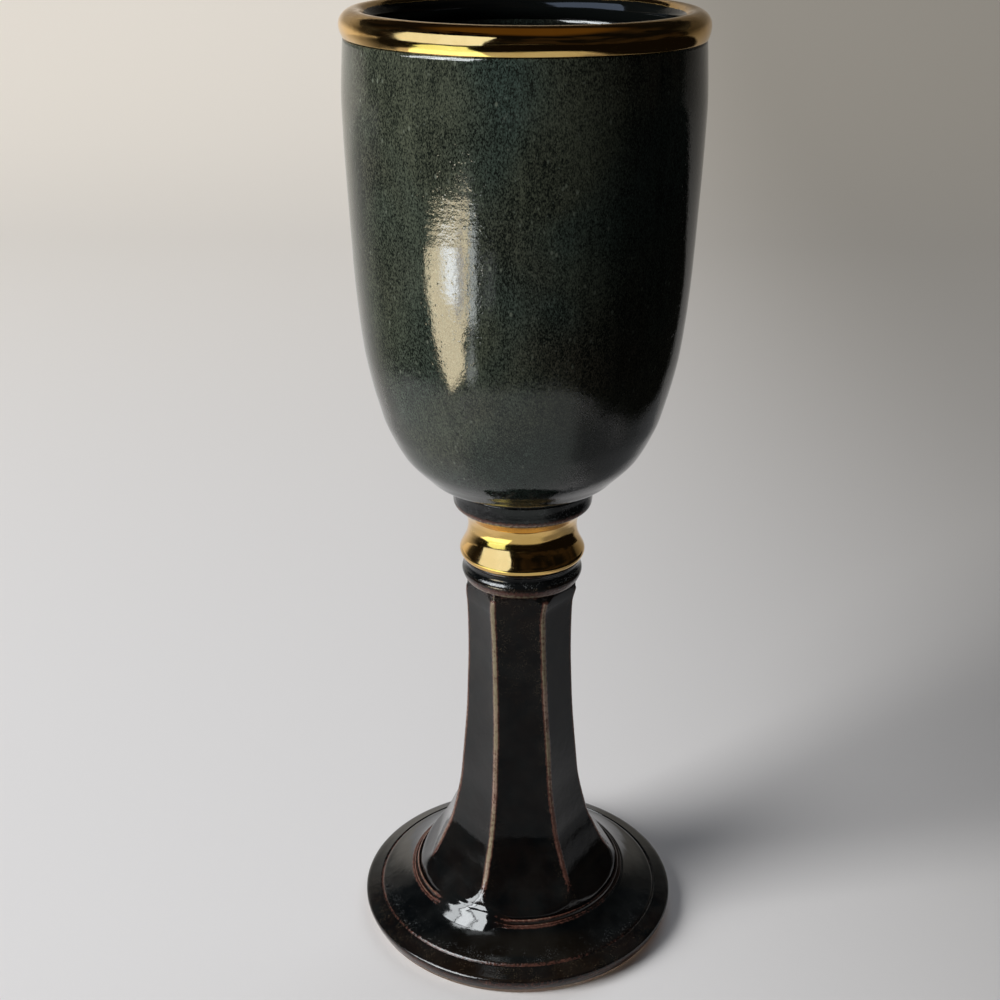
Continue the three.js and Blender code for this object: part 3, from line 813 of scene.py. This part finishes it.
# ------------------------------------------------------------------ floor and backdrop
def sweep():
    """A pale sheet: flat floor that curves up behind into a backdrop. Its colour is painted lighter and warmer at
    the left and behind, and darker towards the right: painted light and shade.
    """
    line = [(-4.0, 0.0), (-2.0, 0.0), (-1.0, 0.0), (-0.5, 0.0), (0.0, 0.0), (0.4, 0.0), (0.8, 0.0)]
    for k in range(1, 13):
        a = math.radians(90 * k / 12)
        line.append((0.8 + 1.0 * math.sin(a), 1.0 - 1.0 * math.cos(a)))
    line.append((1.8, 1.3))
    xs = np.linspace(-4, 4, 17)
    verts = [(x, y, z) for y, z in line for x in xs]
    n = len(xs)
    faces = [(i * n + k, i * n + k + 1, (i + 1) * n + k + 1, (i + 1) * n + k)
             for i in range(len(line) - 1) for k in range(n - 1)]
    mesh = bpy.data.meshes.new("floor_sweep")
    mesh.from_pydata(verts, [], faces)
    for p in mesh.polygons:
        p.use_smooth = True
    mesh.transform(Matrix.Translation((0, 0, -0.00005)))
    obj = bpy.data.objects.new("floor_sweep", mesh)
    bpy.context.scene.collection.objects.link(obj)
    m = bpy.data.materials.new("pale_sheet_painted_light")
    t = Tree(m)
    p = t.point()
    grain = t.noise(p, 260, 3.0, 0.6)
    split = t.node("ShaderNodeSeparateXYZ")
    t.put(split.inputs[0], p)
    # Painted light and shade: lighter and warmer at the left and towards the back, darker towards the right.
    across = t.math("ADD", split.outputs[0], t.math("MULTIPLY", split.outputs[1], 0.12))
    near = t.mix(t.range(across, -0.05, 0.33), rgb(0.745, 0.742, 0.760), rgb(0.402, 0.393, 0.388))
    far = t.mix(t.range(across, -0.05, 0.40), rgb(0.935, 0.878, 0.803), rgb(0.412, 0.382, 0.337))
    colour = t.mix(t.range(split.outputs[1], -0.05, 1.25), near, far)
    shader = t.node("ShaderNodeBsdfPrincipled")
    t.put(shader.inputs["Base Color"], colour)
    shader.inputs["Roughness"].default_value = 0.75
    shader.inputs["Specular IOR Level"].default_value = 0.2
    t.put(shader.inputs["Normal"], t.bump(grain, 0.00003))
    # seen from below, the sheet is clear, so that the foot's underside can be looked at
    clear = t.node("ShaderNodeBsdfTransparent")
    geometry = t.node("ShaderNodeNewGeometry")
    both = t.node("ShaderNodeMixShader")
    t.put(both.inputs[0], geometry.outputs["Backfacing"])
    t.put(both.inputs[1], shader.outputs[0])
    t.put(both.inputs[2], clear.outputs[0])
    out = t.node("ShaderNodeOutputMaterial")
    t.put(out.inputs[0], both.outputs[0])
    mesh.materials.append(m)
    return obj


floor = sweep()


# ------------------------------------------------------------------ studio: light, cards and flags
def card(name, points, colour, strength, glossy_only=True):
    """A flat card that glows. Only reflections see it."""
    mesh = bpy.data.meshes.new(name)
    mesh.from_pydata([tuple(p) for p in points], [], [tuple(range(len(points)))])
    obj = bpy.data.objects.new(name, mesh)
    bpy.context.scene.collection.objects.link(obj)
    m = bpy.data.materials.new(name)
    t = Tree(m)
    e = t.node("ShaderNodeEmission")
    e.inputs[0].default_value = (*colour, 1)
    e.inputs[1].default_value = strength
    o = t.node("ShaderNodeOutputMaterial")
    t.put(o.inputs[0], e.outputs[0])
    mesh.materials.append(m)
    obj.visible_camera = False
    obj.visible_diffuse = False
    obj.visible_shadow = False
    obj.visible_transmission = False
    obj.visible_volume_scatter = False
    return obj


def receivers(name, objects):
    c = bpy.data.collections.new(name)
    for o in objects:
        c.objects.link(o)
    return c


gold_only = receivers("gold_pieces", [bead, knop])
glaze_only = receivers("glazed_pieces", [bowl, stem, foot, coil, ring, collar])
sun_takers = receivers("pieces_in_sun", [bowl, stem, foot, coil, ring])


def on_sphere(azimuth, elevation, distance, height=0.15):
    a, e = math.radians(azimuth), math.radians(elevation)
    return Vector((math.sin(a) * math.cos(e) * distance, -math.cos(a) * math.cos(e) * distance,
                   height + math.sin(e) * distance))


def panel(azimuths, elevations, distance, steps=6):
    """Corner points of a window seen from the object between these angles."""
    a = np.linspace(azimuths[0], azimuths[1], steps)
    pts = [on_sphere(k, elevations[0], distance) for k in a]
    pts += [on_sphere(k, elevations[1], distance) for k in a[::-1]]
    return pts


def inside_distance(x, y, polygon):
    """Distance in mm from points to a polygon's edge, positive inside."""
    q = np.array(polygon, float)
    best = np.full(x.shape, 1e9)
    within = np.zeros(x.shape, bool)
    for i in range(len(q)):
        (x0, y0), (x1, y1) = q[i - 1], q[i]
        dx, dy = x1 - x0, y1 - y0
        u = np.clip(((x - x0) * dx + (y - y0) * dy) / (dx * dx + dy * dy), 0, 1)
        best = np.minimum(best, np.hypot(x - x0 - u * dx, y - y0 - u * dy))
        if y0 != y1:
            crosses = ((y0 > y) != (y1 > y)) & (x < (x1 - x0) * (y - y0) / (y1 - y0) + x0)
            within = within ^ crosses
    return np.where(within, best, -best)


def veil(name, verts, faces, fill, colour, strength):
    """A mesh that glows where its attribute fill is 1 and is clear where it is 0."""
    mesh = bpy.data.meshes.new(name)
    mesh.from_pydata([tuple(v) for v in verts], [], faces)
    layer = mesh.attributes.new("fill", "FLOAT", "POINT")
    layer.data.foreach_set("value", np.ascontiguousarray(np.ravel(fill), np.float32))
    obj = bpy.data.objects.new(name, mesh)
    bpy.context.scene.collection.objects.link(obj)
    m = bpy.data.materials.new(name)
    t = Tree(m)
    e = t.node("ShaderNodeEmission")
    if isinstance(colour, tuple):
        e.inputs[0].default_value = (*colour, 1)
    else:
        t.put(e.inputs[0], colour(t))
    e.inputs[1].default_value = strength
    clear = t.node("ShaderNodeBsdfTransparent")
    both = t.node("ShaderNodeMixShader")
    t.put(both.inputs[0], t.attribute("fill"))
    t.put(both.inputs[1], clear.outputs[0])
    t.put(both.inputs[2], e.outputs[0])
    o = t.node("ShaderNodeOutputMaterial")
    t.put(o.inputs[0], both.outputs[0])
    mesh.materials.append(m)
    for key in ("camera", "diffuse", "shadow", "transmission", "volume_scatter"):
        setattr(obj, "visible_" + key, False)
    return obj


def soft_patch(name, polygon, height, soft, colour, strength, pitch=15.0, wander=0.0, limit=1.0):
    """A glowing patch just over the sheet, in mm, that fades out at its edge."""
    q = np.array(polygon, float)
    lo, hi = q.min(0) - soft, q.max(0) + soft
    nx, ny = (int(math.ceil((hi[k] - lo[k]) / pitch)) + 1 for k in (0, 1))
    gx, gy = np.meshgrid(np.linspace(lo[0], hi[0], nx), np.linspace(lo[1], hi[1], ny))
    d = inside_distance(gx, gy, polygon)
    d = d + wander * (np.sin(gx / 31.0 + 1.3 * np.sin(gy / 47.0)) + np.sin(gy / 23.0 + 1.1 * np.sin(gx / 37.0)))
    fill = limit * ramp(d, -0.5 * soft, 0.5 * soft)
    verts = np.stack([gx * MM, gy * MM, np.full(gx.shape, height)], 2).reshape(-1, 3)
    faces = [(i * nx + k, i * nx + k + 1, (i + 1) * nx + k + 1, (i + 1) * nx + k)
             for i in range(ny - 1) for k in range(nx - 1)
             if fill[i:i + 2, k:k + 2].max() > 0]
    return veil(name, verts, faces, fill, colour, strength)


# Glowing patches that only reflections see: a painted reflection of sun on the sheet at the left, as the glaze
# mirrors it.
SUN = [(-545, -280), (-540, -262), (-504, -244), (-406, -220), (-331, -197), (-272, -181), (-208, -161),
       (-212, -209), (-219, -255), (-234, -302), (-270, -369), (-329, -473), (-362, -530), (-394, -583),
       (-442, -569), (-497, -506), (-550, -419), (-568, -348), (-560, -300)]
CORE = [(-482, -386), (-470, -352), (-432, -342), (-383, -324), (-350, -343), (-348, -391), (-374, -433),
        (-397, -455), (-440, -442)]
SEAM = [(-430, -490), (-401, -513), (-370, -477), (-326, -411), (-299, -353), (-320, -335), (-369, -415),
        (-400, -458)]
STREAK = [(-364, -565), (-330, -580), (-288, -524), (-268, -485), (-220, -377), (-245, -359), (-312, -458),
          (-347, -518)]
TAIL = [(-244, -347), (-218, -364), (-191, -301), (-169, -249), (-181, -240), (-210, -289)]
SIDE = [(-290, -549), (-231, -565), (-185, -548), (-167, -513), (-176, -449), (-226, -454), (-277, -518)]
TOP = [(-540, -413), (-520, -520), (-500, -640), (-470, -700), (-430, -690), (-390, -640), (-360, -590),
       (-460, -520)]


def mottled(scale, dark, pale, low=0.40, high=0.58):
    """An emission colour that breaks up between two values."""
    return lambda t: t.mix(t.range(t.noise(t.point(), scale, 3.0, 0.6), low, high), rgb(*dark), rgb(*pale))


SPARSE = (0.01, 0.01, 0.01), (0.92, 0.97, 0.98), 0.50, 0.62
top = soft_patch("sun_top", TOP, 0.003, 60, mottled(60, *SPARSE), 3.4, 12.0, 10.0, 0.9)
side = soft_patch("sun_side", SIDE, 0.0032, 34, mottled(90, *SPARSE), 2.6, 8.0, 6.0, 0.9)
sun = soft_patch("sunlit_patch", SUN, 0.004, 14, (1.0, 0.85, 0.565), 10.0, 4.0, 7.0)
streak = soft_patch("grey_streak", STREAK, 0.005, 12, mottled(60, (0.45, 0.49, 0.48), (0.93, 0.97, 0.95)), 8.0,
                    5.0, 4.0)
tail = soft_patch("grey_tail", TAIL, 0.0052, 12, mottled(60, (0.45, 0.49, 0.48), (0.93, 0.97, 0.95)), 3.2,
                  5.0, 4.0)
core = soft_patch("sunlit_core", CORE, 0.006, 36, mottled(75, (0.62, 0.63, 0.62), (0.94, 0.98, 1.0)), 18.5,
                  6.0, 9.0)
seam = soft_patch("sunlit_seam", SEAM, 0.0065, 14, mottled(70, (0.50, 0.46, 0.47), (0.9, 0.86, 0.86)), 6.0,
                  5.0, 5.0, 0.85)
window = [card("window_%d" % i, panel(az, el, 1.7), (0.94, 0.98, 1.0), power)
          for i, (az, el, power) in enumerate((
              ((-80, -66), (14, 54), 12.0), ((-63.5, -50), (14, 57), 17.0),
              ((-47.5, -33), (14, 55), 14.0), ((-76, -36), (58.5, 63), 1.1)))]
for o in window:
    o.light_linking.receiver_collection = glaze_only
for o in (top, side, sun, core, streak, tail, seam):
    o.light_linking.receiver_collection = sun_takers


def gold_glow(name, at, towards, size, radiance, colour, spin=0.0):
    """A lamp that only the gold mirrors, as a rectangle of this size in metres."""
    data = bpy.data.lights.new(name, "AREA")
    data.shape = "RECTANGLE"
    data.size, data.size_y = size
    data.energy = radiance * math.pi * size[0] * size[1]
    data.color = colour
    obj = bpy.data.objects.new(name, data)
    bpy.context.scene.collection.objects.link(obj)
    face = (Vector(towards) - Vector(at)).to_track_quat("-Z", "Y").to_matrix().to_4x4()
    obj.matrix_world = Matrix.Translation(Vector(at)) @ face @ Matrix.Rotation(spin, 4, "Z")
    obj.visible_camera = False
    obj.light_linking.receiver_collection = gold_only
    return obj


gold_glow("gold_window", on_sphere(-53, 15, 1.08), (0, 0, 0.15), (1.20, 1.30), 1.70, (0.60, 0.74, 1.0))
gold_glow("gold_sheet_near", (-0.235, -0.155, 0.010), (-0.235, -0.155, 1.0), (0.26, 0.25), 1.5,
          (0.76, 1.0, 0.72), math.radians(40))
gold_glow("gold_sheet_far", (-0.420, -0.350, 0.010), (-0.420, -0.350, 1.0), (0.30, 0.34), 1.5,
          (0.76, 1.0, 0.72), math.radians(35))


def dark_room():
    """The unlit room in front of the sheet: a dark dome that only reflections see, painted shade with a dim warm
    painted glow near its top. It fades out towards its sides and below."""
    bands, steps, radius = 30, 144, 2.4
    e = np.radians(np.linspace(-12, 90, bands + 1))[:, None]
    a = np.radians(np.linspace(-180, 180, steps + 1))[None]
    ad, ed = np.degrees(a) + 0 * e, np.degrees(e) + 0 * a
    wave = 3.0 * np.sin(ed / 9.0) + 2.0 * np.sin(ed / 4.1 + 1.0)
    fill = ramp(ad, -118 + wave, -98 + wave) * (1 - ramp(ad, 110 + 0.4 * wave, 118 + 0.4 * wave))
    fill = np.maximum(fill, ramp(ed, 62, 74)) * ramp(ed, -8, -2)
    fill = np.maximum(fill, ramp(ed, 27, 36))
    verts = np.stack([np.sin(a) * np.cos(e) * radius, -np.cos(a) * np.cos(e) * radius,
                      np.sin(e) * radius + 0 * a], 2).reshape(-1, 3)
    n = steps + 1
    faces = [(i * n + k, i * n + k + 1, (i + 1) * n + k + 1, (i + 1) * n + k)
             for i in range(bands) for k in range(steps)]

    def painted_room_glow(t):
        # Painted reflection of the room: nearly black, with a dim warm glow near the top of the dome.
        where = t.point()
        dim = t.mix(t.range(t.noise(where, 1.3, 2.0), 0.42, 0.66), rgb(0.004, 0.004, 0.004),
                    rgb(0.022, 0.016, 0.012))
        split = t.node("ShaderNodeSeparateXYZ")
        t.put(split.inputs[0], where)
        above = t.math("MULTIPLY", t.range(split.outputs[1], 1.15, 0.75), t.range(split.outputs[2], 1.95, 2.30))
        return t.mix(above, dim, rgb(0.085, 0.047, 0.013))

    return veil("dark_room", verts, faces, fill, painted_room_glow, 1.0)


dark_room()
# In reflections a dark veil over the sheet in front and at the right is painted shade, where reflections meet the
# dark room.
FLAG = [(-2400, 400), (-350, 55), (-305, -100), (-215, -165), (-150, -245), (0, -272), (110, -262),
        (168, -220), (186, -132), (204, -60), (215, 20), (223, 96), (236, 141), (251, 206), (297, 261),
        (326, 336), (405, 443), (540, 524), (672, 556), (2200, 1000), (2500, -500), (1500, -2200),
        (-1500, -2200), (-2500, -500)]
soft_patch("front_flag", FLAG, 0.002, 46, (0.5, 0.42, 0.35), 0.010, 24.0, 6.0)


def left_dusk():
    """A dark veil that only reflections see, painted shade over the sheet: to the left and behind, the sheet grows
    lighter slowly.
    """
    a = np.radians(np.linspace(-152, -96, 57))[None]
    d = np.array([250, 290, 340, 400, 480, 600, 800, 1100, 1500, 2000, 2600], float)[:, None]
    ad, dd = np.degrees(a) + 0 * d, d + 0 * a
    fill = ramp(ad, -150, -98) ** 0.8 * ramp(dd, 250, 400) * (1 - 0.35 * ramp(dd, 900, 1500))
    verts = np.stack([np.sin(a) * d * MM, -np.cos(a) * d * MM, 0.0022 + 0 * dd], 2).reshape(-1, 3)
    n = a.size
    faces = [(i * n + k, i * n + k + 1, (i + 1) * n + k + 1, (i + 1) * n + k)
             for i in range(d.size - 1) for k in range(n - 1)]
    return veil("left_dusk", verts, faces, fill, (0.5, 0.46, 0.40), 0.012)


def back_dusk():
    """The lit backdrop is dimmer in the glaze than to the eye: a dark veil in front of it that only reflections see,
    painted shade.
    """
    a = np.radians(np.linspace(95, 265, 86))[None]
    z = np.array([0.22, 0.34, 0.46, 0.7, 1.0, 1.3, 1.6, 1.9])[:, None]
    ad, zd = np.degrees(a) + 0 * z, z + 0 * a
    fill = 0.50 * ramp(zd, 0.22, 0.46) * ramp(ad, 95, 125) * (1 - ramp(ad, 235, 265))
    verts = np.stack([np.sin(a) * 1.3 + 0 * z, -np.cos(a) * 1.3 + 0 * z, zd], 2).reshape(-1, 3)
    n = a.size
    faces = [(i * n + k, i * n + k + 1, (i + 1) * n + k + 1, (i + 1) * n + k)
             for i in range(z.size - 1) for k in range(n - 1)]
    return veil("back_dusk", verts, faces, fill, (0.5, 0.48, 0.45), 0.012)


left_dusk()
back_dusk()
LEFT_SHADE = [(-310, -90), (-200, -170), (-120, -120), (-110, 60), (-150, 170), (-260, 200), (-350, 105)]
soft_patch("left_shade", LEFT_SHADE, 0.0028, 60, (0.9, 1.0, 0.95), 0.10, 12.0, 4.0, 0.24)
# In reflections a dim veil paints the sheet in front as lying in shade: painted shade.
SHADE = [(-150, -245), (-95, -60), (-60, -40), (60, -40), (110, -60), (170, -190), (120, -260), (0, -290)]
front_shade = soft_patch("front_shade", SHADE, 0.003, 60, (0.92, 1.0, 0.96), 0.49, 12.0, 4.0, 0.80)
front_shade.light_linking.receiver_collection = receivers("upper_pieces", [bowl, collar, knop, bead])
SHADE_RIGHT = [(95, -75), (150, -165), (196, -60), (212, 60), (228, 140), (238, 205), (190, 230), (130, 150),
               (95, 60)]
soft_patch("right_shade", SHADE_RIGHT, 0.0035, 44, (0.95, 0.97, 1.0), 0.16, 12.0, 4.0, 0.85)


def area(name, azimuth, elevation, distance, size, power, colour, glossy=False):
    data = bpy.data.lights.new(name, "AREA")
    data.shape = "RECTANGLE"
    data.size, data.size_y = size
    data.energy = power
    data.color = colour
    obj = bpy.data.objects.new(name, data)
    bpy.context.scene.collection.objects.link(obj)
    at = on_sphere(azimuth, elevation, distance, 0.12)
    obj.matrix_world = Matrix.Translation(at) @ (Vector((0, 0, 0.12)) - at).to_track_quat("-Z", "Y").to_matrix().to_4x4()
    obj.visible_camera = False
    obj.visible_glossy = glossy
    return obj


area("window_light", -64, 27, 2.2, (1.10, 1.5), 78.0, (1.0, 0.985, 0.955))
back_fill = area("back_fill", 160, 48, 2.0, (1.6, 1.2), 9.0, (0.93, 0.96, 1.0))
back_fill.light_linking.receiver_collection = receivers("sheet_and_foot", [floor, foot, coil])
PIECES = [bowl, collar, knop, bead, ring, stem, foot, coil] + [NODES[k] for k in (
    "foot_joint_slip", "neck_joint_slip", "knop_lower_slip", "knop_upper_slip", "bowl_joint_slip", "rim_joint_slip")]
every_piece = receivers("every_piece", PIECES)
# Behind and below, lamps that light only the object, for the sides that the photograph doesn't show.
back_lamp = area("back_lamp", 180, 24, 1.8, (1.5, 1.2), 48.0, (0.96, 0.98, 1.0))
back_lamp.light_linking.receiver_collection = every_piece
under_lamp = area("under_lamp", 150, -72, 1.2, (0.9, 0.9), 13.0, (1.0, 0.98, 0.96))
under_lamp.light_linking.receiver_collection = receivers("seen_from_below", [foot, stem, NODES["foot_joint_slip"]])
under_lamp.light_linking.blocker_collection = every_piece
# The sheet's light on the object comes from the cards, and a lamp at the right of the front
# that only the black-glazed pieces take.
floor.visible_diffuse = False
side_fill = area("side_fill", 48, 8, 1.2, (0.9, 0.7), 4.0, (1.0, 0.98, 0.95))
side_fill.light_linking.receiver_collection = receivers("dark_pieces", [stem, foot, coil, ring, collar])



def studio_walls():
    """Pale walls round the sheet that glow, darker towards the right: painted light and shade. Only the camera sees
    them, so they light nothing.
    """
    levels = [(-0.5, 1.0), (0.0, 1.0), (0.5, 1.0), (1.0, 1.0), (1.5, 1.0), (1.9, 0.9), (2.2, 0.7), (2.4, 0.4),
              (2.5, 0.02)]
    steps = 96
    verts = []
    for z, scale in levels:
        for k in range(steps):
            a = 2 * math.pi * k / steps
            c, n = math.cos(a), math.sin(a)
            verts.append((1.45 * scale * math.copysign(math.sqrt(abs(c)), c),
                          0.40 + 1.85 * scale * math.copysign(math.sqrt(abs(n)), n), z))
    faces = [(i * steps + k, i * steps + (k + 1) % steps, (i + 1) * steps + (k + 1) % steps, (i + 1) * steps + k)
             for i in range(len(levels) - 1) for k in range(steps)]
    mesh = bpy.data.meshes.new("studio_walls")
    mesh.from_pydata(verts, [], faces)
    for f in mesh.polygons:
        f.use_smooth = True
    obj = bpy.data.objects.new("studio_walls", mesh)
    bpy.context.scene.collection.objects.link(obj)
    m = bpy.data.materials.new("pale_wall")
    t = Tree(m)
    split = t.node("ShaderNodeSeparateXYZ")
    t.put(split.inputs[0], t.point())
    e = t.node("ShaderNodeEmission")
    # Painted light: the walls glow, pale at the left and darker towards the right.
    t.put(e.inputs[0], t.mix(t.range(split.outputs[0], -1.4, 1.4), rgb(0.80, 0.79, 0.78), rgb(0.44, 0.43, 0.42)))
    e.inputs[1].default_value = 1.0
    o = t.node("ShaderNodeOutputMaterial")
    t.put(o.inputs[0], e.outputs[0])
    mesh.materials.append(m)
    for key in ("diffuse", "glossy", "shadow", "transmission", "volume_scatter"):
        setattr(obj, "visible_" + key, False)


studio_walls()
world = bpy.data.worlds.new("studio")
bpy.context.scene.world = world
world.use_nodes = True
background = next(n for n in world.node_tree.nodes if n.type == "BACKGROUND")
background.inputs[0].default_value = (0.80, 0.81, 0.84, 1)
background.inputs[1].default_value = 0.05

view = bpy.context.scene.view_settings
view.view_transform = "Standard"
view.look = "None"
view.exposure = 0.0
view.gamma = 1.0
